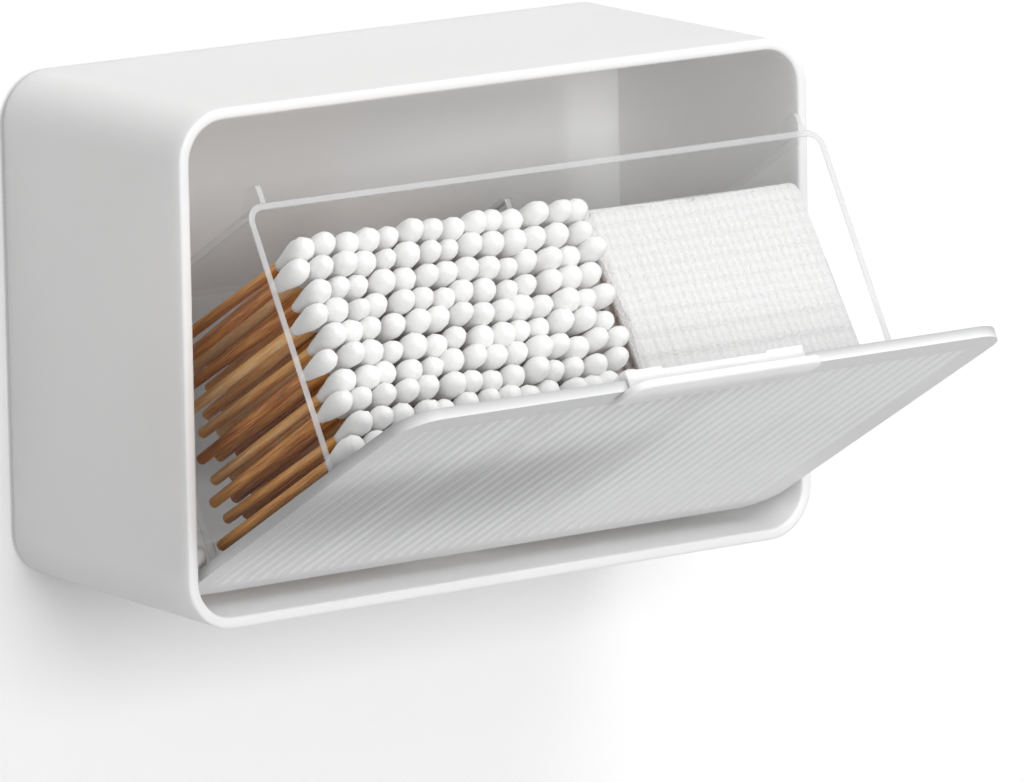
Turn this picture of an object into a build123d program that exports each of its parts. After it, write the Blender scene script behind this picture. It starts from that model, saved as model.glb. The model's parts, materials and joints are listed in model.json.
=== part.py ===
"""Wall-mounted cotton swab holder: a white box on the wall, open at the front, and a clear tray
with a fluted front panel that tilts out of it. The tray is stored tilted open on its stop, with
swabs in the left part and square cotton pads in the right one.

Millimetres. The origin is the centre of the face that is stuck to the wall, +Y runs into the
wall, +Z up. Everything that tilts is drawn shut, where u is the distance behind the panel's
inner face and v the height above the panel's bottom edge, and is then swung open.
"""

import math
import os

from build123d import *

CASE_W, CASE_H, CASE_D = 176.0, 120.0, 75.4
CASE_R = 12.0
CASE_WALL = 2.6
CASE_BACK = 2.0
CASE_RIM_R = 1.15
CASE_BACK_EDGE = 1.0
CASE_CORNER = 1.5

SHEET_W, SHEET_H, SHEET_T, SHEET_R = 140.0, 84.0, 1.0, 6.0

PANEL_T, PANEL_R, PANEL_EDGE = 2.6, 9.0, 0.5
PANEL_PROUD = 0.3
PANEL_SIDE_GAP, PANEL_FLOOR_GAP, PANEL_TOP_GAP = 2.0, 2.2, 1.4
FLUTE_PITCH, FLUTE_W, FLUTE_DEPTH = 3.72, 1.3, 0.6
FLUTE_SIDE, FLUTE_LOW, FLUTE_HIGH = 5.0, 5.5, 7.5

PIVOT_U, PIVOT_V = 3.1, 11.7
PIN_R, PIN_CLEARANCE, PIN_TIP = 2.5, 0.05, 0.5
HUB_R, HUB_SIDE_GAP, BORE_FLOOR = 6.0, 0.8, 0.3
OPEN_DEG = 60.0
STOP_DEG, STOP_W, STOP_GAP = 30.0, 2.4, 0.3
LUG_REACH, RIB_THICK, RIB_GAP = 4.0, 2.2, 0.9

TRAY_SIDE_GAP, TRAY_SHUT_GAP, PIN_SIDE_GAP = 4.7, 0.7, 0.6
TRAY_WALL, TRAY_LOW, TRAY_RIM = 1.6, 12.4, 71.1
TRAY_BACK_R, TRAY_FOOT_R = 4.5, 2.0
FIN_INSET, FIN_T, FIN_REACH, FIN_H, FIN_R = 4.5, 1.4, 4.8, 9.6, 1.2

DIVIDER_T, DIVIDER_TOP = 1.5, 55.4
GUIDE_T, GUIDE_D, GUIDE_CLEARANCE = 1.0, 1.4, 0.15

GRIP_W, GRIP_T, GRIP_R, GRIP_EDGE = 52.0, 1.8, 4.0, 0.4
GRIP_BELOW, GRIP_ABOVE = 4.7, 6.4
CLIP_SIDE, CLIP_GAP, CLIP_DOWN, CLIP_T = 1.5, 0.4, 6.0, 1.2
JAW_W, JAW_T = 10.0, 1.8

SWAB_PITCH_X, SWAB_PITCH_U, SWAB_EDGE = 5.85, 5.25, 3.1
SWAB_REAR_GAP, SWAB_OVER = 6.0, 3.4
SWAB_SIDES, STICK_R = 5, 1.2
HEAD_LOW, HEAD_TIP = 66.5, 80.2
HEAD_R, HEAD_NECK_R, HEAD_TIP_R, HEAD_WIDEST = 2.85, 1.5, 1.4, 0.7
HEAD_JITTER, FOOT_JITTER, LENGTH_JITTER = 0.2, 0.7, 1.1
HEAD_GAP, FOOT_GAP, FOOT_LIFT = 0.04, 0.3, 0.34

PAD_W, PAD_T, PAD_FAN, PAD_COUNT = 62.2, 4.0, 0.4, 12
PAD_CORNER, PAD_CORNER_CUT = 2.0, 0.6
PAD_SIDE_GAP, PAD_FRONT_GAP, PAD_REAR_GAP, PAD_JITTER = 0.75, 0.5, 6.5, 0.45

WELD = 0.5

FRONT = -(SHEET_T + CASE_D)
CASE_INSIDE_X = CASE_W / 2 - CASE_WALL
PANEL_W = 2 * (CASE_INSIDE_X - PANEL_SIDE_GAP)
PANEL_H = CASE_H - 2 * CASE_WALL - PANEL_FLOOR_GAP - PANEL_TOP_GAP
PANEL_BACK = FRONT - PANEL_PROUD + PANEL_T
PANEL_FOOT = -CASE_H / 2 + CASE_WALL + PANEL_FLOOR_GAP
PIVOT_Y = PANEL_BACK + PIVOT_U
PIVOT_Z = PANEL_FOOT + PIVOT_V
PIVOT = Axis((0, PIVOT_Y, PIVOT_Z), (1, 0, 0))
TRAY_X = CASE_INSIDE_X - TRAY_SIDE_GAP
INSIDE_X = TRAY_X - TRAY_WALL
TRAY_D = -SHEET_T - CASE_BACK - TRAY_SHUT_GAP - FIN_REACH - PANEL_BACK
TRAY_FLOOR = TRAY_LOW + TRAY_WALL
PIN_END_X = TRAY_X + PIN_SIDE_GAP
PAD_D = TRAY_D - 2 * TRAY_WALL - PAD_FRONT_GAP - PAD_REAR_GAP


def block(x0, x1, y0, y1, z0, z1):
    centre = Pos((x0 + x1) / 2, (y0 + y1) / 2, (z0 + z1) / 2)
    return centre * Box(x1 - x0, y1 - y0, z1 - z0)


def shut_block(x0, x1, u0, u1, v0, v1):
    return block(x0, x1, PANEL_BACK + u0, PANEL_BACK + u1, PANEL_FOOT + v0, PANEL_FOOT + v1)


def upright_plate(width, height, radius, y0, y1, z_mid):
    face = Plane(origin=(0, y1, z_mid), x_dir=(1, 0, 0), z_dir=(0, -1, 0))
    return extrude(face * RectangleRounded(width, height, radius), amount=y1 - y0)


def edges_at(shape, axis, value):
    return shape.edges().filter_by_position(axis, value - 0.01, value + 0.01)


def x_cylinder(radius, x0, x1):
    return Pos((x0 + x1) / 2, PIVOT_Y, PIVOT_Z) * Rot(0, 90, 0) * Cylinder(radius, abs(x1 - x0))


def swing(shape):
    """Turn a shape from shut to the open rest pose, about the pins."""
    return shape.rotate(PIVOT, OPEN_DEG)


def shake(index, seed):
    """A repeatable number from -1 to 1, for the small irregularities of loose things."""
    value = math.sin(index * 12.9898 + seed * 78.233) * 43758.5453
    return 2.0 * (value - math.floor(value)) - 1.0


def casing():
    back = -SHEET_T
    shell = upright_plate(CASE_W, CASE_H, CASE_R, FRONT, back, 0)
    hollow = upright_plate(
        CASE_W - 2 * CASE_WALL, CASE_H - 2 * CASE_WALL, CASE_R - CASE_WALL,
        FRONT - 1, back - CASE_BACK, 0,
    )
    shell -= hollow
    shell = fillet(edges_at(shell, Axis.Y, FRONT), CASE_RIM_R)
    shell = chamfer(edges_at(shell, Axis.Y, back - CASE_BACK), CASE_CORNER)
    shell = chamfer(edges_at(shell, Axis.Y, back), CASE_BACK_EDGE)
    for side in (-1, 1):
        shell += pivot_pin(side) + stop_rib(side)
    return shell


def pivot_pin(side):
    pin = x_cylinder(PIN_R, side * PIN_END_X, side * (CASE_INSIDE_X + WELD))
    return chamfer(edges_at(pin, Axis.X, side * PIN_END_X), PIN_TIP)


def stop_rib(side):
    """Rib on the side wall, just above the place of the tray's lug when the tray is open."""
    x0, x1 = sorted((side * PIN_END_X, side * (CASE_INSIDE_X + WELD)))
    near, far = HUB_R + RIB_GAP, HUB_R + LUG_REACH + RIB_GAP
    low = STOP_W / 2 + STOP_GAP
    rib = block(x0, x1, PIVOT_Y + near, PIVOT_Y + far, PIVOT_Z + low, PIVOT_Z + low + RIB_THICK)
    return rib.rotate(PIVOT, STOP_DEG)


def adhesive_sheet():
    return upright_plate(SHEET_W, SHEET_H, SHEET_R, -SHEET_T, 0, 0)


def front_panel():
    outer = PANEL_BACK - PANEL_T
    panel = upright_plate(
        PANEL_W, PANEL_H, PANEL_R, outer, PANEL_BACK, PANEL_FOOT + PANEL_H / 2
    )
    panel = chamfer(edges_at(panel, Axis.Y, outer), PANEL_EDGE)
    flutes = int((PANEL_W - 2 * FLUTE_SIDE) / FLUTE_PITCH)
    grooves = [
        flute_groove((i - flutes / 2) * FLUTE_PITCH, outer) for i in range(flutes + 1)
    ]
    return swing(panel - grooves)


def flute_groove(x, outer):
    """Groove between two flutes; the outermost ones stop short of the rounded corners."""
    inner_r = PANEL_R - FLUTE_LOW
    past = max(0.0, abs(x) - (PANEL_W / 2 - PANEL_R))
    short = inner_r - math.sqrt(max(0.0, inner_r ** 2 - min(past, inner_r) ** 2))
    low = PANEL_FOOT + FLUTE_LOW + short
    high = PANEL_FOOT + PANEL_H - FLUTE_HIGH - short
    half = FLUTE_W / 2
    across = Plane(origin=(x, outer, low), x_dir=(1, 0, 0), z_dir=(0, 0, 1))
    profile = Polygon((-half, 0), (half, 0), (0, FLUTE_DEPTH), align=None)
    return extrude(across * profile, amount=high - low)


def tray():
    body = shut_block(-TRAY_X, TRAY_X, 0, TRAY_D, TRAY_LOW, TRAY_RIM)
    rear = PANEL_BACK + TRAY_D
    body = fillet(edges_at(body.edges().filter_by(Axis.Z), Axis.Y, rear), TRAY_BACK_R)
    foot = edges_at(body, Axis.Z, PANEL_FOOT + TRAY_LOW)
    body = fillet(foot - edges_at(foot, Axis.Y, PANEL_BACK), TRAY_FOOT_R)
    hollow = shut_block(
        -INSIDE_X, INSIDE_X, TRAY_WALL, TRAY_D - TRAY_WALL, TRAY_FLOOR, TRAY_RIM + WELD
    )
    corners = edges_at(hollow.edges().filter_by(Axis.Z), Axis.Y, rear - TRAY_WALL)
    body -= fillet(corners, TRAY_BACK_R - TRAY_WALL)
    for side in (-1, 1):
        body += tray_hub(side) + closing_fin(side)
        body -= x_cylinder(PIN_R + PIN_CLEARANCE, side * (PIN_END_X - BORE_FLOOR), side * CASE_W / 2)
        body += divider_guides(side)
    return swing(body)


def tray_hub(side):
    """Boss around the pivot pin, flat where it lies on the panel, with the stop lug."""
    tip = side * (CASE_INSIDE_X - HUB_SIDE_GAP)
    boss = x_cylinder(HUB_R, side * INSIDE_X, tip)
    x0, x1 = sorted((side * (TRAY_X - WELD), tip))
    half = STOP_W / 2
    reach = HUB_R + LUG_REACH
    lug = block(x0, x1, PIVOT_Y + HUB_R / 2, PIVOT_Y + reach, PIVOT_Z - half, PIVOT_Z + half)
    lug = lug.rotate(PIVOT, STOP_DEG - OPEN_DEG)
    return (boss + lug) - shut_block(-CASE_W, CASE_W, -CASE_D, 0, -CASE_H, CASE_H)


def closing_fin(side):
    """Thin fin behind the back wall that meets the casing's back when the tray is shut."""
    foot, end, rim = TRAY_D - WELD, TRAY_D + FIN_REACH, TRAY_RIM
    x = side * (TRAY_X - FIN_INSET) - (FIN_T if side > 0 else 0)
    side_on = Plane(origin=(x, PANEL_BACK, PANEL_FOOT), x_dir=(0, 1, 0), z_dir=(1, 0, 0))
    outline = Polygon(
        (foot, rim), (end, rim), (end, rim - FIN_H + FIN_REACH), (foot, rim - FIN_H - WELD),
        align=None,
    )
    tip = outline.vertices().sort_by(Axis.Y)[-2:].sort_by(Axis.Z)[-1]
    return extrude(side_on * fillet(tip, FIN_R), amount=FIN_T)


def divider_guides(side):
    """Two small ribs on the front wall and two on the back one, which hold the divider."""
    near = DIVIDER_T / 2 + GUIDE_CLEARANCE
    x0, x1 = sorted((side * near, side * (near + GUIDE_T)))
    front, back = TRAY_WALL, TRAY_D - TRAY_WALL
    span = (TRAY_FLOOR - WELD, DIVIDER_TOP)
    return (
        shut_block(x0, x1, front - WELD, front + GUIDE_D, *span)
        + shut_block(x0, x1, back - GUIDE_D, back + WELD, *span)
    )


def divider():
    half = DIVIDER_T / 2
    return swing(shut_block(
        -half, half, TRAY_WALL + GUIDE_CLEARANCE, TRAY_D - TRAY_WALL - GUIDE_CLEARANCE,
        TRAY_FLOOR, DIVIDER_TOP,
    ))


def handle():
    """Grip plate on the panel's outer face and a clip that reaches over its top edge."""
    outer = PANEL_BACK - PANEL_T
    top = PANEL_H
    mid = PANEL_FOOT + top + (GRIP_ABOVE - GRIP_BELOW) / 2
    face = Plane(origin=(0, outer, mid), x_dir=(1, 0, 0), z_dir=(0, -1, 0))
    grip = extrude(face * Rectangle(GRIP_W, GRIP_ABOVE + GRIP_BELOW), amount=GRIP_T)
    upper = edges_at(grip.edges().filter_by(Axis.Y), Axis.Z, PANEL_FOOT + top + GRIP_ABOVE)
    grip = fillet(upper, GRIP_R)
    grip = chamfer(edges_at(grip, Axis.Y, outer - GRIP_T), GRIP_EDGE)
    half, ridge = GRIP_W / 2 - CLIP_SIDE, top + PANEL_TOP_GAP - CLIP_GAP
    grip += shut_block(-half, half, -PANEL_T - WELD, CLIP_T, top, ridge)
    grip += shut_block(-half, half, 0, CLIP_T, top - CLIP_DOWN, ridge)
    for side in (-1, 1):
        x0, x1 = sorted((side * half, side * (half - JAW_W)))
        grip += shut_block(x0, x1, 0, JAW_T, top - CLIP_DOWN, ridge)
    return swing(grip)


def swab_rows():
    """Each row's swabs as (head x, head u, foot x, foot u, extra length), front row first. They
    fill the left half of the tray, and the last heads of each row lean over the divider."""
    depth = TRAY_D - 2 * TRAY_WALL - 2 * SWAB_EDGE - SWAB_REAR_GAP
    width = INSIDE_X - SWAB_EDGE + SWAB_OVER - SWAB_PITCH_X / 2
    rows = []
    for k in range(1 + int(depth / SWAB_PITCH_U)):
        row = []
        for i in range(1 + int(width / SWAB_PITCH_X)):
            n = 31 * k + i
            x = -INSIDE_X + SWAB_EDGE + SWAB_PITCH_X * (i + (k % 2) / 2) + HEAD_JITTER * shake(n, 1)
            u = TRAY_WALL + SWAB_EDGE + SWAB_PITCH_U * k + HEAD_JITTER * shake(n, 2)
            row.append((x, u, n))
        feet = foot_places([x for x, u, n in row])
        rows.append([
            (x, u, feet[x] + FOOT_JITTER * shake(n, 3), u + FOOT_JITTER * shake(n, 4),
             LENGTH_JITTER * shake(n, 5))
            for x, u, n in row
        ])
    return rows


def foot_places(heads):
    """Where a row's feet stand: each stick leans so as to pass beside the divider's top edge,
    and pushes the next one on if they would meet."""
    clear = DIVIDER_T / 2 + STICK_R + FOOT_JITTER / 2 + FOOT_GAP
    share = (DIVIDER_TOP - TRAY_FLOOR) / (HEAD_TIP - TRAY_FLOOR)
    feet, nearest = {}, 0.0
    for x in sorted(heads, reverse=True):
        foot = min(x, -(clear + x * share) / (1 - share), nearest)
        nearest = foot - 2 * (STICK_R + FOOT_JITTER) - FOOT_GAP
        feet[x] = foot
    return feet


def head_radius(spot, spots):
    """Radius that keeps a head clear of its neighbours."""
    near = min(math.dist(spot[:2], other[:2]) for other in spots if other is not spot)
    return min(HEAD_R, (near - HEAD_GAP) / 2)


def turned(low, high, rings):
    """Few-sided turned solid from point low to point high; rings are (share of length, radius)."""
    axis = Vector(*high) - Vector(*low)
    frame = Plane(origin=low, x_dir=(1, 0, -axis.X / axis.Z), z_dir=axis)
    hoops = []
    for share, radius in rings:
        turn = [2 * math.pi * j / SWAB_SIDES for j in range(SWAB_SIDES)]
        hoops.append([
            frame.from_local_coords(
                Vector(radius * math.cos(t), radius * math.sin(t), share * axis.length)
            )
            for t in turn
        ])
    faces = [Face(Wire.make_polygon(hoops[0])), Face(Wire.make_polygon(hoops[-1]))]
    for lower, upper in zip(hoops, hoops[1:]):
        for j in range(SWAB_SIDES):
            n = (j + 1) % SWAB_SIDES
            faces.append(Face(Wire.make_polygon([lower[j], lower[n], upper[n], upper[j]])))
    return Solid(Shell(faces))


def swab_point(spot, v):
    """Point on a swab's axis at height v."""
    x, u, foot_x, foot_u, _ = spot
    share = (v - TRAY_FLOOR) / (HEAD_TIP - TRAY_FLOOR)
    return (
        foot_x + (x - foot_x) * share,
        PANEL_BACK + foot_u + (u - foot_u) * share,
        PANEL_FOOT + v,
    )


def stick(spot):
    low = swab_point(spot, TRAY_FLOOR + FOOT_LIFT)
    high = swab_point(spot, HEAD_LOW + spot[4])
    return turned(low, high, [(0, STICK_R), (1, STICK_R)])


def head(spot, radius):
    """Cotton head on the stick's end: narrow at the stick, widest near its tip."""
    low = swab_point(spot, HEAD_LOW + spot[4])
    high = swab_point(spot, HEAD_TIP + spot[4])
    return turned(low, high, [(0, HEAD_NECK_R), (HEAD_WIDEST, radius), (1, HEAD_TIP_R)])


def cotton_pad(index):
    """One square pad with cut corners, a little out of line with the others."""
    w, d, c = PAD_W / 2, PAD_D / 2, PAD_CORNER
    bend = PAD_CORNER_CUT
    outline = []
    for sx, sy, first in ((1, 1, 0), (-1, 1, 1), (-1, -1, 0), (1, -1, 1)):
        corner = [
            (sx * w, sy * (d - c)), (sx * (w - bend), sy * (d - bend)), (sx * (w - c), sy * d)
        ]
        outline += corner[::-1] if first else corner
    x = INSIDE_X - PAD_SIDE_GAP - w + PAD_JITTER * shake(index, 8)
    u = TRAY_WALL + PAD_FRONT_GAP + d + PAD_JITTER * shake(index, 9)
    flat = Plane(origin=(x, PANEL_BACK + u, PANEL_FOOT + TRAY_FLOOR), z_dir=(0, 0, 1))
    block = extrude(flat * Polygon(*outline, align=None), amount=2 * PAD_T * PAD_COUNT)
    return swing(block & pad_layer(index))


def pad_layer(index):
    """The wedge that a pad of the stack fills: pads are pressed thinner at the back."""
    ends = []
    for k in (index, index + 1):
        for u, share in ((0, 0.5), (TRAY_D, -0.5)):
            ends.append((u, TRAY_FLOOR + k * (PAD_T + PAD_FAN * share)))
    side_on = Plane(origin=(0, PANEL_BACK, PANEL_FOOT), x_dir=(0, 1, 0), z_dir=(1, 0, 0))
    outline = Polygon(ends[0], ends[1], ends[3], ends[2], align=None)
    return extrude(side_on * outline, amount=INSIDE_X)


def write(name, shape):
    export_step(shape, f"parts/{name}.step")


def main():
    os.makedirs("parts", exist_ok=True)
    write("casing", casing())
    write("adhesive_sheet", adhesive_sheet())
    write("front_panel", front_panel())
    write("tray", tray())
    write("divider", divider())
    write("handle", handle())
    rows = swab_rows()
    spots = [spot for row in rows for spot in row]
    for k, row in enumerate(rows, 1):
        write(f"swab_sticks_{k:02d}", Compound([swing(stick(spot)) for spot in row]))
        heads = [swing(head(spot, head_radius(spot, spots))) for spot in row]
        write(f"swab_heads_{k:02d}", Compound(heads))
    for index in range(PAD_COUNT):
        write(f"cotton_pad_{index + 1:02d}", cotton_pad(index))


main()
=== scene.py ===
"""Wall-mounted cotton swab holder: a white casing with a clear tray tilted out of it, full of
swabs and cotton pads. Metres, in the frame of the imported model."""

import json
import math

import bmesh
import bpy
from mathutils import Matrix, Vector, noise


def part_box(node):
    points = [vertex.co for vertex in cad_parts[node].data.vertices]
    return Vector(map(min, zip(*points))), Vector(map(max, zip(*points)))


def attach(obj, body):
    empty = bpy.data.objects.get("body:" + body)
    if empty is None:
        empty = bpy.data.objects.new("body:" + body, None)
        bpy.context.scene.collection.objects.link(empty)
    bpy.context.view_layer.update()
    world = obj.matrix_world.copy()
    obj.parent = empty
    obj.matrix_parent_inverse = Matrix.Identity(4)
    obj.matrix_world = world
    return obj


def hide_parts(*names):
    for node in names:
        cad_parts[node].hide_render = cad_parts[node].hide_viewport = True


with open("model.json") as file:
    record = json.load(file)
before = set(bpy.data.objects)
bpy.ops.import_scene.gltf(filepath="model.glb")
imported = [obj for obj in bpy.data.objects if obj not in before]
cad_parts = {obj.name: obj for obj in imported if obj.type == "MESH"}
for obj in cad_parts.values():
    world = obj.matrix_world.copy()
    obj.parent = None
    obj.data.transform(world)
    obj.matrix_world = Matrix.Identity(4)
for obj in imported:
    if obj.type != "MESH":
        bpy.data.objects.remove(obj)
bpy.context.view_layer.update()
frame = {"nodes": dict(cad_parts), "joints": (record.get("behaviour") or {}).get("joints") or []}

# Camera: a long lens well to the left of the holder and a little above it, held very slightly
# out of level, as the photograph was taken.
AZIMUTH, ELEVATION, ROLL = math.radians(-34.84), math.radians(11.08), math.radians(-0.977)
CAMERA_PLACE = Vector((-1.2221, -1.8349, 0.4049))
LENS = 331.7

back = Vector((
    math.sin(AZIMUTH) * math.cos(ELEVATION),
    -math.cos(AZIMUTH) * math.cos(ELEVATION),
    math.sin(ELEVATION),
))
camera = bpy.data.objects.new("camera", bpy.data.cameras.new("camera"))
bpy.context.scene.collection.objects.link(camera)
camera.data.lens = LENS
camera.data.clip_end = 20
camera.matrix_world = (
    Matrix.Translation(CAMERA_PLACE)
    @ back.to_track_quat("Z", "Y").to_matrix().to_4x4()
    @ Matrix.Rotation(ROLL, 4, "Z")
)
bpy.context.scene.camera = camera
bpy.context.scene.view_settings.view_transform = "Standard"


# Casing: one injection-moulded box of white ABS, open at the front, with every edge rounded over.
# Two stub pins and two stop ribs for the tray are moulded on its inner side walls.
class Value:
    """A socket of a material; sums and products of values add the Math nodes that they need."""

    def __init__(self, finish, socket):
        self.finish, self.socket = finish, socket

    def math(self, operation, *values):
        return self.finish.node("ShaderNodeMath", {"operation": operation}, values)

    def __add__(self, other):
        return self.math("ADD", self, other)

    def __sub__(self, other):
        return self.math("SUBTRACT", self, other)

    def __rsub__(self, other):
        return self.math("SUBTRACT", other, self)

    def __mul__(self, other):
        return self.math("MULTIPLY", self, other)

    __radd__, __rmul__ = __add__, __mul__


class Finish:
    """A material: a Principled shader and the nodes that vary it over the surface."""

    def __init__(self, name, **sockets):
        self.material = bpy.data.materials.new(name)
        self.material.use_nodes = True
        self.tree = self.material.node_tree
        self.shader = self.tree.nodes["Principled BSDF"]
        self.fill(self.shader, sockets)

    def fill(self, node, sockets):
        pairs = sockets.items() if isinstance(sockets, dict) else enumerate(sockets)
        for name, value in pairs:
            socket = node.inputs[name.replace("_", " ") if isinstance(name, str) else name]
            if isinstance(value, Value):
                self.tree.links.new(value.socket, socket)
            else:
                socket.default_value = value

    def node(self, kind, settings=None, sockets=(), output=0):
        node = self.tree.nodes.new(kind)
        for name, value in (settings or {}).items():
            if name == "stops":
                for stop, (place, colour) in zip(self.stops(node, len(value)), value):
                    stop.position, stop.color = place, colour
            else:
                setattr(node, name, value)
        self.fill(node, sockets)
        return Value(self, node.outputs[output])

    def stops(self, ramp, count):
        while len(ramp.color_ramp.elements) < count:
            ramp.color_ramp.elements.new(1.0)
        return ramp.color_ramp.elements

    def place(self, scale=(1, 1, 1), turn=(0, 0, 0)):
        spot = self.node("ShaderNodeTexCoord", output=3)
        sockets = {"Vector": spot, "Scale": scale, "Rotation": turn}
        return self.node("ShaderNodeMapping", {"vector_type": "TEXTURE"}, sockets)

    def bump(self, height, depth):
        sockets = {"Height": height, "Distance": depth}
        self.fill(self.shader, {"Normal": self.node("ShaderNodeBump", None, sockets)})

    def vary(self, **sockets):
        self.fill(self.shader, sockets)


def make_piece(name, shape, finish, body, nodes=(), angle=50):
    """Turn a bmesh into a piece of the holder with soft shading over its rounded edges."""
    mesh = bpy.data.meshes.new(name)
    bmesh.ops.recalc_face_normals(shape, faces=shape.faces)
    shape.to_mesh(mesh)
    shape.free()
    mesh.shade_smooth()
    mesh.set_sharp_from_angle(angle=math.radians(angle))
    mesh.materials.append(finish.material)
    piece = bpy.data.objects.new(name, mesh)
    bpy.context.scene.collection.objects.link(piece)
    flat = piece.modifiers.new("flat faces", "WEIGHTED_NORMAL")
    flat.keep_sharp = True
    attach(piece, body)
    if nodes:
        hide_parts(*nodes)
    return piece


def new_block(shape, low, high):
    """Add a box between two corners and return its vertices."""
    low, high = Vector(low), Vector(high)
    place = Matrix.Translation((low + high) / 2) @ Matrix.Diagonal((*(high - low), 1))
    return bmesh.ops.create_cube(shape, size=1, matrix=place)["verts"]


def edges_along(edges, axis):
    """The edges that run along one axis."""
    found = []
    for edge in edges:
        run = (edge.verts[0].co - edge.verts[1].co).normalized()
        if abs(run[axis]) > 0.999:
            found.append(edge)
    return found


def edges_in(edges, axis, place):
    """The edges that lie in the plane across an axis at a place."""
    return [e for e in edges if all(abs(v.co[axis] - place) < 1e-5 for v in e.verts)]


def round_off(shape, edges, radius, segments):
    bmesh.ops.bevel(
        shape, geom=edges, offset=radius, segments=segments, profile=0.5,
        affect="EDGES", material=-1, clamp_overlap=True,
    )


WALL, BACK_WALL = 0.0026, 0.0020
CORNER, RIM_ROUND, INNER_ROUND, BACK_ROUND = 0.012, 0.0006, 0.003, 0.001
PIN_R, PIN_END, INNER_SIDE = 0.0025, 0.0813, 0.0855
RIB_NEAR, RIB_FAR, RIB_END = 0.0069, 0.0109, 0.0813
RIB_LOW, RIB_THICK, STOP_ANGLE = 0.0015, 0.0022, math.radians(30)
WHITE = (0.935, 0.934, 0.93, 1)

white_plastic = Finish(
    "white_plastic", Base_Color=WHITE, Roughness=0.42, IOR=1.5, Subsurface_Weight=1.0,
    Subsurface_Radius=(1, 1, 1), Subsurface_Scale=0.004,
)
cloudy = white_plastic.node(
    "ShaderNodeTexNoise", None,
    {"Vector": white_plastic.place(), "Scale": 900, "Detail": 2, "Roughness": 0.5},
)
white_plastic.bump(cloudy, 0.00001)
white_plastic.vary(Roughness=0.38 + 0.08 * cloudy)

low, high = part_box("casing")
casing = bmesh.new()
new_block(casing, low, high)
front = [f for f in casing.faces if f.normal.y < -0.9]
bmesh.ops.delete(casing, geom=front, context="FACES_ONLY")
round_off(casing, edges_along(casing.edges, 1), CORNER, 14)
bmesh.ops.recalc_face_normals(casing, faces=casing.faces)
outer_faces = set(casing.faces)
bmesh.ops.solidify(casing, geom=casing.faces[:], thickness=WALL)
inner_back = high.y - BACK_WALL
for vertex in casing.verts:
    if abs(vertex.co.y - (high.y - WALL)) < 1e-5:
        vertex.co.y = inner_back
    if vertex.co.y < low.y + WALL / 2:
        vertex.co.y = low.y
round_off(casing, edges_in(casing.edges, 1, inner_back), INNER_ROUND, 5)
round_off(casing, edges_in(casing.edges, 1, high.y), BACK_ROUND, 3)
rim = [e for e in edges_in(casing.edges, 1, low.y) if e.calc_face_angle(0) > 0.5]
round_off(casing, rim, RIM_ROUND, 5)
pivot = Vector(frame["joints"][0]["pos_m"])
for side in (-1, 1):
    seat = Matrix.Translation((side * (PIN_END + INNER_SIDE) / 2, pivot.y, pivot.z))
    pin = bmesh.ops.create_cone(
        casing, cap_ends=True, segments=32, radius1=PIN_R, radius2=PIN_R,
        depth=INNER_SIDE - PIN_END, matrix=seat @ Matrix.Rotation(math.pi / 2, 4, "Y"),
    )["verts"]
    xs = sorted((side * RIB_END, side * INNER_SIDE))
    rib = new_block(
        casing, (xs[0], pivot.y + RIB_NEAR, pivot.z + RIB_LOW),
        (xs[1], pivot.y + RIB_FAR, pivot.z + RIB_LOW + RIB_THICK),
    )
    bmesh.ops.rotate(casing, verts=rib, cent=pivot, matrix=Matrix.Rotation(STOP_ANGLE, 3, "X"))
make_piece("casing_shell", casing, white_plastic, "case", ["casing"])


# Adhesive sheet: foam tape with rounded corners that holds the casing's back to the wall.
foam = Finish("adhesive_foam", Base_Color=(0.76, 0.75, 0.72, 1), Roughness=0.9)
cells = foam.node(
    "ShaderNodeTexVoronoi", None, {"Vector": foam.place(), "Scale": 1800, "Randomness": 1.0}
)
foam.bump(cells, 0.00008)
frame["nodes"]["adhesive_sheet"].data.materials.clear()
frame["nodes"]["adhesive_sheet"].data.materials.append(foam.material)


# Tray: one moulding of clear polystyrene, bonded behind the front panel. Each side has a boss that
# turns on the casing's pin, with a lug that stops at the casing's rib, and a fin behind the wall.
# It is built shut, with u the depth behind the panel and v the height above its foot, then tilted.
OPEN = -math.radians(frame["joints"][0]["range_deg"][0])
tilt = (
    Matrix.Translation(pivot) @ Matrix.Rotation(OPEN, 4, "X") @ Matrix.Translation(-pivot)
)
shut = tilt.inverted()


def shut_box(node):
    """Lowest and highest corner of a node when the tray is shut."""
    corners = [shut @ v.co for v in frame["nodes"][node].data.vertices]
    low = Vector(min(c[axis] for c in corners) for axis in range(3))
    high = Vector(max(c[axis] for c in corners) for axis in range(3))
    return low, high


PIVOT_U, PIVOT_V = 0.0031, 0.0117
panel_back, panel_foot = pivot.y - PIVOT_U, pivot.z - PIVOT_V
TRAY_WALL = 0.0016
TRAY_X, TRAY_D = 0.0807, 0.0656
TRAY_LOW, TRAY_RIM = 0.0124, 0.0711
TRAY_CORNER, TRAY_FOOT, RIM_EDGE = 0.0045, 0.002, 0.0003
HUB_R, BORE_R, HUB_OUT = 0.006, 0.00255, 0.0846
LUG_ANGLE, LUG_HALF, LUG_END = math.radians(-30), 0.0012, 0.010
FIN_X, FIN_T, FIN_REACH, FIN_H = 0.0755, 0.0014, 0.0048, 0.0096
GUIDE_T, GUIDE_D, GUIDE_SIDE = 0.001, 0.0014, 0.0009
SEAM = 0.00002


def shut_point(x, u, v):
    return Vector((x, panel_back + u, panel_foot + v))


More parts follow.
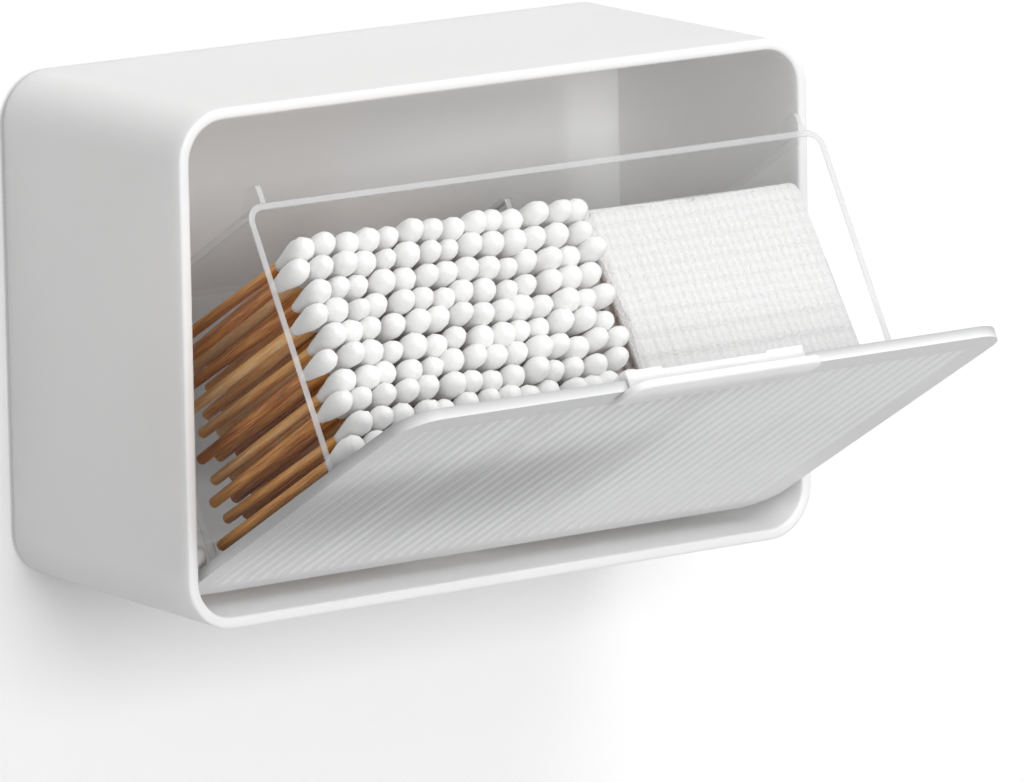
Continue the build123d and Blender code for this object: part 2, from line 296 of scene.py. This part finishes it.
def tray_hub(shape, side):
    """Boss with a bore, cut flat where it would reach the panel, and its stop lug."""
    turn = Matrix.Rotation(math.pi / 2, 4, "Y")
    seat = Matrix.Translation((side * (TRAY_X + SEAM), pivot.y, pivot.z)) @ turn
    rings = [
        bmesh.ops.create_circle(shape, segments=40, radius=r, matrix=seat)["verts"]
        for r in (HUB_R, BORE_R)
    ]
    loops = list({e for ring in rings for v in ring for e in v.link_edges})
    faces = bmesh.ops.bridge_loops(shape, edges=loops)["faces"]
    region = faces + list({e for f in faces for e in f.edges} | {v for f in faces for v in f.verts})
    bmesh.ops.bisect_plane(
        shape, geom=region, plane_co=(0, panel_back + SEAM, 0), plane_no=(0, -1, 0),
        clear_outer=True,
    )
    disc = [f for f in shape.faces if all(abs(v.co.x - side * (TRAY_X + SEAM)) < 1e-7 for v in f.verts)]
    out = bmesh.ops.extrude_face_region(shape, geom=disc, use_keep_orig=True)["geom"]
    moved = [g for g in out if isinstance(g, bmesh.types.BMVert)]
    bmesh.ops.translate(shape, verts=moved, vec=(side * (HUB_OUT - TRAY_X - SEAM), 0, 0))
    xs = sorted((side * (TRAY_X + SEAM), side * HUB_OUT))
    lug = new_block(
        shape, (xs[0], pivot.y + HUB_R, pivot.z - LUG_HALF),
        (xs[1], pivot.y + LUG_END, pivot.z + LUG_HALF),
    )
    bmesh.ops.rotate(
        shape, verts=lug, cent=pivot, matrix=Matrix.Rotation(LUG_ANGLE, 3, "X")
    )


def tray_fin(shape, side):
    """Thin fin that stops just short of the casing's back when the tray is shut."""
    low = shut_point(side * FIN_X - FIN_T / 2, TRAY_D + SEAM, TRAY_RIM - FIN_H)
    high = shut_point(side * FIN_X + FIN_T / 2, TRAY_D + FIN_REACH, TRAY_RIM)
    fin = new_block(shape, low, high)
    for vertex in fin:
        if vertex.co.y > low.y + 0.001 and vertex.co.z < high.z - 0.001:
            vertex.co.z += FIN_REACH
    tips = [e for e in edges_along({e for v in fin for e in v.link_edges}, 0)
            if e.verts[0].co.y > low.y + 0.001 and e.verts[0].co.z > high.z - 0.001]
    round_off(shape, tips, 0.0015, 4)


def mark_edges(shape, across):
    """Mark a clear wall's narrow faces, painted as light edges for the light that runs inside it."""
    rims = shape.faces.layers.float.new("rim")
    for face in shape.faces:
        face[rims] = 1.0 if across(face) else 0.0


def divider_guides(shape, side):
    """Two small ribs on the front wall and two on the back one, which hold the divider."""
    low, high = shut_box("divider")
    xs = sorted((side * GUIDE_SIDE, side * (GUIDE_SIDE + GUIDE_T)))
    for u in (TRAY_WALL + SEAM, TRAY_D - TRAY_WALL - GUIDE_D - SEAM):
        near = (xs[0], panel_back + u, low.z + SEAM)
        new_block(shape, near, (xs[1], panel_back + u + GUIDE_D, high.z))


clear_plastic = Finish(
    "clear_plastic", Base_Color=(0.62, 0.625, 0.627, 1), Roughness=0.05, IOR=1.49,
)
edge_on = clear_plastic.node("ShaderNodeLayerWeight", None, {"Blend": 0.5}, output=1)
# Painted highlight: the marked rim faces are made more opaque, so they show as lines of light.
painted_rim_light = clear_plastic.node("ShaderNodeAttribute", {"attribute_name": "rim"}, output=2)
clear_plastic.vary(Alpha=0.012 + 0.45 * edge_on.math("POWER", edge_on, 5) + 0.6 * painted_rim_light)

tray = bmesh.new()
new_block(tray, shut_point(-TRAY_X, 0, TRAY_LOW), shut_point(TRAY_X, TRAY_D, TRAY_RIM))
top = [f for f in tray.faces if f.normal.z > 0.9]
bmesh.ops.delete(tray, geom=top, context="FACES_ONLY")
rear = panel_back + TRAY_D
upright = [e for e in edges_along(tray.edges, 2) if abs(e.verts[0].co.y - rear) < 1e-6]
round_off(tray, upright, TRAY_CORNER, 8)
foot = edges_in(tray.edges, 2, panel_foot + TRAY_LOW)
foot = [e for e in foot if any(v.co.y > panel_back + 1e-5 for v in e.verts)]
round_off(tray, foot, TRAY_FOOT, 5)
bmesh.ops.recalc_face_normals(tray, faces=tray.faces)
bmesh.ops.solidify(tray, geom=tray.faces[:], thickness=TRAY_WALL)
rim_height = panel_foot + TRAY_RIM
for vertex in tray.verts:
    if abs(vertex.co.z - rim_height) < TRAY_WALL / 2:
        vertex.co.z = rim_height
rim = [e for e in edges_in(tray.edges, 2, rim_height) if e.calc_face_angle(0) > 0.5]
round_off(tray, rim, RIM_EDGE, 3)
for side in (-1, 1):
    tray_hub(tray, side)
    tray_fin(tray, side)
    divider_guides(tray, side)
mark_edges(tray, lambda face: face.calc_center_median().z > rim_height - 0.0005)
bmesh.ops.transform(tray, matrix=tilt, verts=tray.verts)
make_piece("tray_shell", tray, clear_plastic, "bin", ["tray"], angle=35)


# Divider: a plain plate of the same clear plastic, slid in from above between the two small ribs
# on the tray's front wall and the two on its back wall.
divider = bmesh.new()
low, high = shut_box("divider")
new_block(divider, low, high)
round_off(divider, divider.edges[:], 0.0002, 2)
mark_edges(divider, lambda face: face.calc_center_median().z > high.z - 0.0003)
bmesh.ops.transform(divider, matrix=tilt, verts=divider.verts)
make_piece("divider_plate", divider, clear_plastic, "bin", ["divider"], angle=35)


# Front panel: a thick plate of frosted plastic with rounded corners. Upright flutes are moulded in
# its outer face and end short of a smooth margin; its inner face is plain.
PANEL_T, PANEL_R, PANEL_EDGE = 0.0026, 0.009, 0.0005
FLUTE_PITCH, FLUTE_DEEP, FLUTES, PER_FLUTE = 0.00372, 0.0007, 42, 8
FLUTE_LOW, FLUTE_HIGH, FLUTE_FADE = 0.0055, 0.0075, 0.0012
PANEL_ROWS = 30

frosted = Finish("frosted_panel", Roughness=0.4, IOR=1.49)
# Painted shade and light: the panel's colour is darker across the tray's contents and lighter towards
# its foot and the pads.
backing = frosted.node("ShaderNodeAttribute", {"attribute_name": "backing"}, output=2)
# Painted highlight: a fine light line along each flute, added to the panel's colour.
crest = frosted.node("ShaderNodeAttribute", {"attribute_name": "crest"}, output=2)
# Colour of the painted shade, lifted by the painted flute highlight and a little darker between the
# highlights.
shade = frosted.node(
    "ShaderNodeValToRGB",
    {"stops": [(0.0, (0.28, 0.281, 0.283, 1)), (1.0, (0.93, 0.931, 0.933, 1))]},
    [backing + 0.24 * crest - 0.06],
)
frosted.vary(Base_Color=shade)
haze = frosted.node(
    "ShaderNodeTexNoise", None, {"Vector": frosted.place(), "Scale": 2500, "Detail": 3}
)
frosted.bump(haze, 0.00002)

low, high = shut_box("front_panel")
half = (high.x - low.x) / 2
tall = high.z - low.z


def ease(value):
    value = min(1.0, max(0.0, value))
    return value * value * (3 - 2 * value)


def panel_height(share):
    """Heights up the panel, close together in its rounded corners and even between them."""
    edge_rows = PANEL_ROWS // 3
    row = share * PANEL_ROWS
    if row <= edge_rows:
        return PANEL_R * (1 - math.cos(math.pi / 2 * row / edge_rows))
    if row >= PANEL_ROWS - edge_rows:
        return tall - PANEL_R * (1 - math.cos(math.pi / 2 * (PANEL_ROWS - row) / edge_rows))
    return PANEL_R + (tall - 2 * PANEL_R) * (row - edge_rows) / (PANEL_ROWS - 2 * edge_rows)


def flute_depth(x, v):
    """How far the outer face lies behind the tops of the flutes."""
    phase = (x / FLUTE_PITCH) % 1.0
    valley = 1 - math.sin(math.pi * phase) ** 0.7
    inside = min(v - FLUTE_LOW, tall - FLUTE_HIGH - v, FLUTES * FLUTE_PITCH / 2 - abs(x) + 1e-5)
    return FLUTE_DEEP * valley * ease(inside / FLUTE_FADE)


def panel_painted_shade(x, v):
    """Painted shade and light for the panel's colour: darkest where the swabs' sticks stand
    behind it, left of the divider, lighter in front of the white pads and towards the foot."""
    light = 0.74 + 0.2 * (1 - v / tall) + 0.15 * ease((x + 0.01) / 0.05)
    sticks = ease((v - 0.004) / 0.045) * (1 - ease((v - 0.058) / 0.026))
    return min(1.0, light - 0.5 * sticks * (1 - 0.8 * ease((x + 0.022) / 0.045)))


def panel_flute_highlight(x, v):
    """A painted highlight: the fine line of light along each flute."""
    phase = (x / FLUTE_PITCH) % 1.0
    return (1 if 0.1 < phase < 0.25 else 0) * min(1, flute_depth(0.0, v) / FLUTE_DEEP)


panel = bmesh.new()
painted_shades = panel.verts.layers.float.new("backing")
flute_highlights = panel.verts.layers.float.new("crest")
columns = FLUTES * PER_FLUTE + 4
bmesh.ops.create_grid(panel, x_segments=columns, y_segments=PANEL_ROWS, size=0.5)
flute_half = FLUTES * FLUTE_PITCH / 2
for vertex in panel.verts:
    column = round((vertex.co.x + 0.5) * columns)
    v = panel_height(vertex.co.y + 0.5)
    if 2 <= column <= columns - 2:
        x = -flute_half + (column - 2) * FLUTE_PITCH / PER_FLUTE
    else:
        margin = half - flute_half
        x = math.copysign(flute_half + margin * abs(min(column, columns - column) - 2) / 2, vertex.co.x)
    from_end = min(v, tall - v)
    inset = PANEL_R - math.sqrt(max(0.0, PANEL_R ** 2 - max(0.0, PANEL_R - from_end) ** 2))
    x = max(inset - half, min(half - inset, x))
    vertex.co = (x, low.y + flute_depth(x, v), low.z + v)
    # Painted shade and painted flute highlight at this point of the outer face.
    vertex[painted_shades] = panel_painted_shade(x, v)
    vertex[flute_highlights] = panel_flute_highlight(x, v)
bmesh.ops.remove_doubles(panel, verts=panel.verts, dist=1e-6)
bmesh.ops.dissolve_degenerate(panel, edges=panel.edges, dist=1e-6)
outline = [e for e in panel.edges if e.is_boundary]
sides = bmesh.ops.extrude_edge_only(panel, edges=outline)["geom"]
for vertex in [g for g in sides if isinstance(g, bmesh.types.BMVert)]:
    vertex.co.y = high.y
    # The panel's edge faces get an even painted shade.
    vertex[painted_shades] = 0.3
bmesh.ops.contextual_create(panel, geom=[e for e in panel.edges if e.is_boundary])
bmesh.ops.recalc_face_normals(panel, faces=panel.faces)
bmesh.ops.transform(panel, matrix=tilt, verts=panel.verts)
make_piece("panel_plate", panel, frosted, "bin", ["front_panel"], angle=40)


# Handle: a white grip plate on the panel's outer face, its top corners rounded, with a clip that
# reaches over the panel's top edge and grips it with two thicker jaws. One moulding of white ABS,
# so it starts from a copy of its solid, and every sharp edge of that is rounded over.
HANDLE_EDGE = 0.00028

handle = bmesh.new()
handle.from_mesh(frame["nodes"]["handle"].data)
bmesh.ops.remove_doubles(handle, verts=handle.verts, dist=1e-6)
bmesh.ops.dissolve_limit(
    handle, angle_limit=math.radians(2), verts=handle.verts, edges=handle.edges
)
sharp = [e for e in handle.edges if e.calc_face_angle(0) > math.radians(30)]
round_off(handle, sharp, HANDLE_EDGE, 3)
make_piece("handle_grip", handle, white_plastic, "bin", ["handle"])


# Swab sticks: turned bamboo, a little out of line with each other, no two of quite the same colour.
# Each stands where its plain solid does and runs on into its head.
def solids_of(node):
    """The points of each separate solid of a node, when the tray is shut, from foot to tip."""
    loose = bmesh.new()
    loose.from_mesh(frame["nodes"][node].data)
    bmesh.ops.remove_doubles(loose, verts=loose.verts, dist=1e-6)
    left, solids = set(loose.verts), []
    while left:
        queue, solid = [left.pop()], []
        while queue:
            vertex = queue.pop()
            solid.append(shut @ vertex.co)
            near = {e.other_vert(vertex) for e in vertex.link_edges} & left
            left -= near
            queue.extend(near)
        solids.append(sorted(solid, key=lambda point: point.z))
    loose.free()
    return solids


def middle(points):
    return sum(points, Vector()) / len(points)


def off_line(point):
    """How far a swab's top is pushed out of line by its neighbours."""
    push = noise.noise_vector(point * 260) + 0.6 * noise.noise_vector(point * 520)
    return TOP_STRAY * Vector((push.x, push.y, 1.2 * push.z))


def along(foot, tip):
    """Matrix from the unit of height on the Z axis to the line from foot to tip."""
    turn = (tip - foot).to_track_quat("Z", "Y").to_matrix().to_4x4()
    return Matrix.Translation(foot) @ turn


ROWS = range(1, 11)
RING = 5
STICK_R, INTO_HEAD, FOOT_STRAY, TOP_STRAY = 0.00132, 0.003, 0.0012, 0.0009

bamboo = Finish("bamboo", Base_Color=(0.5, 0.3, 0.14, 1), Roughness=0.55)
tone = bamboo.node("ShaderNodeAttribute", {"attribute_name": "tone"}, output=2)
grain_place = bamboo.place(scale=(1, 1, 30), turn=(OPEN, 0, 0))
fibre = bamboo.node(
    "ShaderNodeTexNoise", {"noise_dimensions": "4D"},
    {"Vector": grain_place, "W": tone * 40, "Scale": 2600, "Detail": 4, "Roughness": 0.65},
)
patch = bamboo.node(
    "ShaderNodeTexNoise", {"noise_dimensions": "4D"},
    {"Vector": grain_place, "W": tone * 90, "Scale": 420, "Detail": 2},
)
shade = bamboo.node(
    "ShaderNodeValToRGB",
    {"stops": [
        (0.0, (0.14, 0.036, 0.005, 1)), (0.3, (0.50, 0.165, 0.028, 1)),
        (0.6, (0.86, 0.41, 0.11, 1)), (1.0, (0.97, 0.76, 0.46, 1)),
    ]},
    [0.6 * tone + 1.3 * fibre + 0.6 * patch - 0.68],
)
bamboo.vary(Base_Color=shade, Roughness=0.45 + 0.2 * fibre)
bamboo.bump(fibre, 0.00012)

count = 0
for row in ROWS:
    sticks = bmesh.new()
    tones = sticks.verts.layers.float.new("tone")
    for solid in solids_of(f"swab_sticks_{row:02d}"):
        foot, neck = middle(solid[:RING]), middle(solid[-RING:])
        stray = FOOT_STRAY * noise.noise_vector(foot * 900)
        foot += Vector((max(stray.x, -0.0003), stray.y, -0.0001))
        neck += off_line(neck) + (neck - foot).normalized() * INTO_HEAD
        length = (neck - foot).length
        place = along(foot, neck) @ Matrix.Translation((0, 0, length / 2))
        made = bmesh.ops.create_cone(
            sticks, cap_ends=True, segments=10, radius1=STICK_R, radius2=STICK_R, depth=length,
            matrix=place,
        )["verts"]
        count += 1
        for vertex in made:
            vertex[tones] = (count * 0.61803) % 1.0
    bmesh.ops.transform(sticks, matrix=tilt, verts=sticks.verts)
    make_piece(f"sticks_{row:02d}", sticks, bamboo, "bin", [f"swab_sticks_{row:02d}"])


# Swab heads: cotton wound on the stick's end, a narrow neck that swells to a round tip. Each takes
# its place and width from its plain solid and is a little lumpy.
HEAD_PROFILE = (
    (0.46, 0.00), (0.56, 0.12), (0.72, 0.30), (0.91, 0.50), (1.00, 0.68), (0.94, 0.83),
    (0.68, 0.945), (0.30, 0.99),
)
HEAD_SIDES, HEAD_LUMPS, HEAD_FULL = 12, 0.0002, 0.99

cotton = Finish(
    "cotton", Base_Color=(0.9, 0.898, 0.893, 1), Roughness=0.95, Sheen_Weight=0.15,
    Sheen_Roughness=0.6,
)
wound = cotton.node(
    "ShaderNodeTexNoise", None,
    {"Vector": cotton.place(scale=(1, 1, 3), turn=(OPEN, 0, 0)), "Scale": 2200, "Detail": 5,
     "Roughness": 0.7},
)
cotton.bump(wound, 0.00012)

spun = bmesh.new()
profile = [spun.verts.new((radius, 0, height)) for radius, height in HEAD_PROFILE]
profile.append(spun.verts.new((0, 0, 1)))
line = [spun.edges.new(pair) for pair in zip(profile, profile[1:])]
bmesh.ops.spin(
    spun, geom=profile + line, cent=(0, 0, 0), axis=(0, 0, 1), angle=2 * math.pi,
    steps=HEAD_SIDES, use_merge=True,
)
bmesh.ops.remove_doubles(spun, verts=spun.verts, dist=1e-5)
bmesh.ops.contextual_create(spun, geom=[e for e in spun.edges if e.is_boundary])
bmesh.ops.recalc_face_normals(spun, faces=spun.faces)
head_mesh = bpy.data.meshes.new("head")
spun.to_mesh(head_mesh)
spun.free()

for row in ROWS:
    heads = bmesh.new()
    for solid in solids_of(f"swab_heads_{row:02d}"):
        neck, widest, tip = middle(solid[:RING]), solid[RING:2 * RING], middle(solid[-RING:])
        full = HEAD_FULL + 0.2 * noise.noise(tip * 900)
        push = off_line(neck)
        neck, tip = neck + push, tip + 1.25 * push
        radius = full * (widest[0] - middle(widest)).length
        length = (tip - neck).length
        before = set(heads.verts)
        heads.from_mesh(head_mesh)
        made = [v for v in heads.verts if v not in before]
        size = Matrix.Diagonal((radius, radius, length, 1))
        bmesh.ops.transform(heads, matrix=along(neck, tip) @ size, verts=made)
        for vertex in made:
            vertex.co += HEAD_LUMPS * noise.noise_vector(vertex.co * 700)
    bmesh.ops.transform(heads, matrix=tilt, verts=heads.verts)
    make_piece(
        f"heads_{row:02d}", heads, cotton, "bin", [f"swab_heads_{row:02d}"], 180
    )


# Cotton pads: soft squares of pressed cotton, quilted with a small diamond pattern. The stack is
# pressed thinner at the back, and the edges of the pads wander a little.
PADS = range(1, 13)
PAD_R, PAD_SOFT, PAD_WAVE = 0.002, 0.0014, 0.0005
QUILT, QUILT_DEEP = 0.0084, 0.00022

padding = Finish(
    "quilted_cotton", Base_Color=(0.77, 0.769, 0.766, 1), Roughness=0.95, Sheen_Weight=0.2,
    Sheen_Roughness=0.6,
)
flat_place = padding.place(scale=(QUILT, QUILT, QUILT), turn=(OPEN, 0, 0))
axes = [
    padding.node("ShaderNodeSeparateXYZ", None, [flat_place], output=axis) for axis in range(3)
]
stripes = [
    (axes[0] + lean * axes[1]) * (2 * math.pi) for lean in (0.75, -0.75)
]
ridges = stripes[0].math("SINE", stripes[0]) * stripes[1].math("SINE", stripes[1])
fluff = padding.node(
    "ShaderNodeTexNoise", None, {"Vector": padding.place(), "Scale": 1500, "Detail": 5}
)
padding.bump(ridges + 0.8 * fluff, 0.0005)


def quilt_height(point):
    """Height of the quilting at a point of a pad, in step with the pattern of its material."""
    spot = Matrix.Rotation(-OPEN, 3, "X") @ (tilt @ point) * (2 * math.pi / QUILT)
    return math.sin(spot.x + 0.75 * spot.y) * math.sin(spot.x - 0.75 * spot.y)


def end_heights(node):
    """Lowest and highest points of a pad at its front edge and at its back edge, when shut."""
    points = [shut @ v.co for v in frame["nodes"][node].data.vertices]
    front, rear = min(p.y for p in points), max(p.y for p in points)
    ends = []
    for place in (front, rear):
        heights = [p.z for p in points if abs(p.y - place) < 1e-5]
        ends.append((min(heights), max(heights)))
    return ends


for index in PADS:
    node = f"cotton_pad_{index:02d}"
    low, high = shut_box(node)
    wide, deep = (high.x - low.x) / 2, (high.y - low.y) / 2
    centre = (low + high) / 2
    (front_low, front_high), (rear_low, rear_high) = end_heights(node)
    pad = bmesh.new()
    bmesh.ops.create_grid(pad, x_segments=64, y_segments=52, size=0.5)
    bmesh.ops.solidify(pad, geom=pad.faces[:], thickness=1.0)
    level = middle([v.co for v in pad.verts]).z
    for vertex in pad.verts:
        x, y = 2 * vertex.co.x * wide, 2 * vertex.co.y * deep
        up = 1 if vertex.co.z > level else -1
        corner = Vector((max(0, abs(x) - wide + PAD_R), max(0, abs(y) - deep + PAD_R)))
        if corner.length > PAD_R:
            corner *= PAD_R / corner.length
            x = math.copysign(wide - PAD_R + corner.x, x)
            y = math.copysign(deep - PAD_R + corner.y, y)
        to_edge = PAD_R - corner.length if corner.x and corner.y else min(wide - abs(x), deep - abs(y))
        back = 0.5 + y / deep / 2
        bottom = front_low + (rear_low - front_low) * back
        top = front_high + (rear_high - front_high) * back
        full = 0.35 + 0.65 * ease(to_edge / PAD_SOFT + 0.15)
        sway = noise.noise_vector(Vector((x * 90, y * 90, index * 3.1)))
        near_edge = 1 - ease(to_edge / 0.004)
        tuft = quilt_height(Vector((centre.x + x, centre.y + y, (bottom + top) / 2)))
        vertex.co = (
            centre.x + x + PAD_WAVE * sway.x * near_edge,
            centre.y + y + PAD_WAVE * sway.y * near_edge,
            (bottom + top) / 2 + up * (top - bottom) / 2 * 0.94 * full + 0.0003 * sway.z
            + QUILT_DEEP * tuft * (1 - near_edge),
        )
    bmesh.ops.transform(pad, matrix=tilt, verts=pad.verts)
    piece = make_piece(f"pad_{index:02d}", pad, padding, "bin", [node], 180)


# Wall and light: the white wall that the casing is stuck to, open to a view and to light from
# behind, a pale floor well below, an even sky, a soft lamp above and another in front.
WALL_HALF, WALL_GAP, FLOOR_DROP = 2.0, 0.0002, 0.5
GROUND_LEVEL, SKY_LEVEL = 0.04, 0.63
KEY_POWER, KEY_SIZE, KEY_PLACE = 7.5, 0.7, Vector((0.35, -0.9, 1.3))
FILL_POWER, FILL_SIZE, FILL_PLACE = 13.5, 0.7, Vector((-0.15, -1.6, 0.3))
SEEN_WHITE, BOUNCE, BACK_LIGHT = 0.94, 0.56, 0.004

plaster = Finish("wall_paint", Roughness=0.9)
seen = plaster.node("ShaderNodeLightPath", output=0)
shown = plaster.node(
    "ShaderNodeMix", {"data_type": "RGBA"},
    {0: seen, 6: (BOUNCE, BOUNCE, BOUNCE, 1), 7: (SEEN_WHITE, SEEN_WHITE, SEEN_WHITE, 1)}, output=2,
)
matt = plaster.node("ShaderNodeBsdfDiffuse", None, [shown])
see_through = plaster.node("ShaderNodeBsdfTransparent")
from_behind = plaster.node("ShaderNodeNewGeometry", output="Backfacing")
reach = plaster.node("ShaderNodeLightPath", output="Ray Length")
open_side = from_behind.math("MAXIMUM", from_behind, reach.math("LESS_THAN", reach, BACK_LIGHT))
one_sided = plaster.node("ShaderNodeMixShader", None, [open_side, matt, see_through])
plaster.tree.links.new(one_sided.socket, plaster.tree.nodes["Material Output"].inputs[0])

for name, turn, place in (
    ("wall", (math.pi / 2, 0, 0), (0, WALL_GAP, 0)),
    ("floor", (0, 0, 0), (0, 0, -FLOOR_DROP)),
):
    sheet = bmesh.new()
    seat = Matrix.Translation(place) @ Matrix.Rotation(turn[0], 4, "X")
    bmesh.ops.create_grid(sheet, x_segments=1, y_segments=1, size=WALL_HALF, matrix=seat)
    mesh = bpy.data.meshes.new(name)
    sheet.to_mesh(mesh)
    sheet.free()
    mesh.materials.append(plaster.material)
    backdrop = bpy.data.objects.new(name, mesh)
    bpy.context.scene.collection.objects.link(backdrop)

for name, power, size, place in (
    ("key", KEY_POWER, KEY_SIZE, KEY_PLACE),
    ("fill", FILL_POWER, FILL_SIZE, FILL_PLACE),
):
    lamp = bpy.data.lights.new(name, "AREA")
    lamp.energy, lamp.size = power, size
    holder = bpy.data.objects.new(name, lamp)
    bpy.context.scene.collection.objects.link(holder)
    facing = place.to_track_quat("Z", "Y").to_matrix().to_4x4()
    holder.matrix_world = Matrix.Translation(place) @ facing

world = bpy.data.worlds.new("studio")
bpy.context.scene.world = world
world.use_nodes = True
light = world.node_tree.nodes["Background"]
light.inputs["Color"].default_value = (1, 1, 1, 1)
tree = world.node_tree
path, direction = tree.nodes.new("ShaderNodeLightPath"), tree.nodes.new("ShaderNodeTexCoord")
height, bright = tree.nodes.new("ShaderNodeSeparateXYZ"), tree.nodes.new("ShaderNodeMapRange")
seen, level = tree.nodes.new("ShaderNodeMath"), tree.nodes.new("ShaderNodeMapRange")
seen.operation = "MAXIMUM"
bright.inputs["From Min"].default_value, bright.inputs["From Max"].default_value = -0.1, 0.35
bright.inputs["To Min"].default_value = GROUND_LEVEL
bright.inputs["To Max"].default_value = GROUND_LEVEL + SKY_LEVEL
for source, target in (
    (direction.outputs["Generated"], height.inputs[0]),
    (height.outputs["Z"], bright.inputs["Value"]),
    (path.outputs["Is Camera Ray"], seen.inputs[0]),
    (path.outputs["Is Transmission Ray"], seen.inputs[1]),
    (seen.outputs[0], level.inputs["Value"]),
    (bright.outputs[0], level.inputs["To Min"]),
    (level.outputs[0], light.inputs["Strength"]),
):
    tree.links.new(source, target)
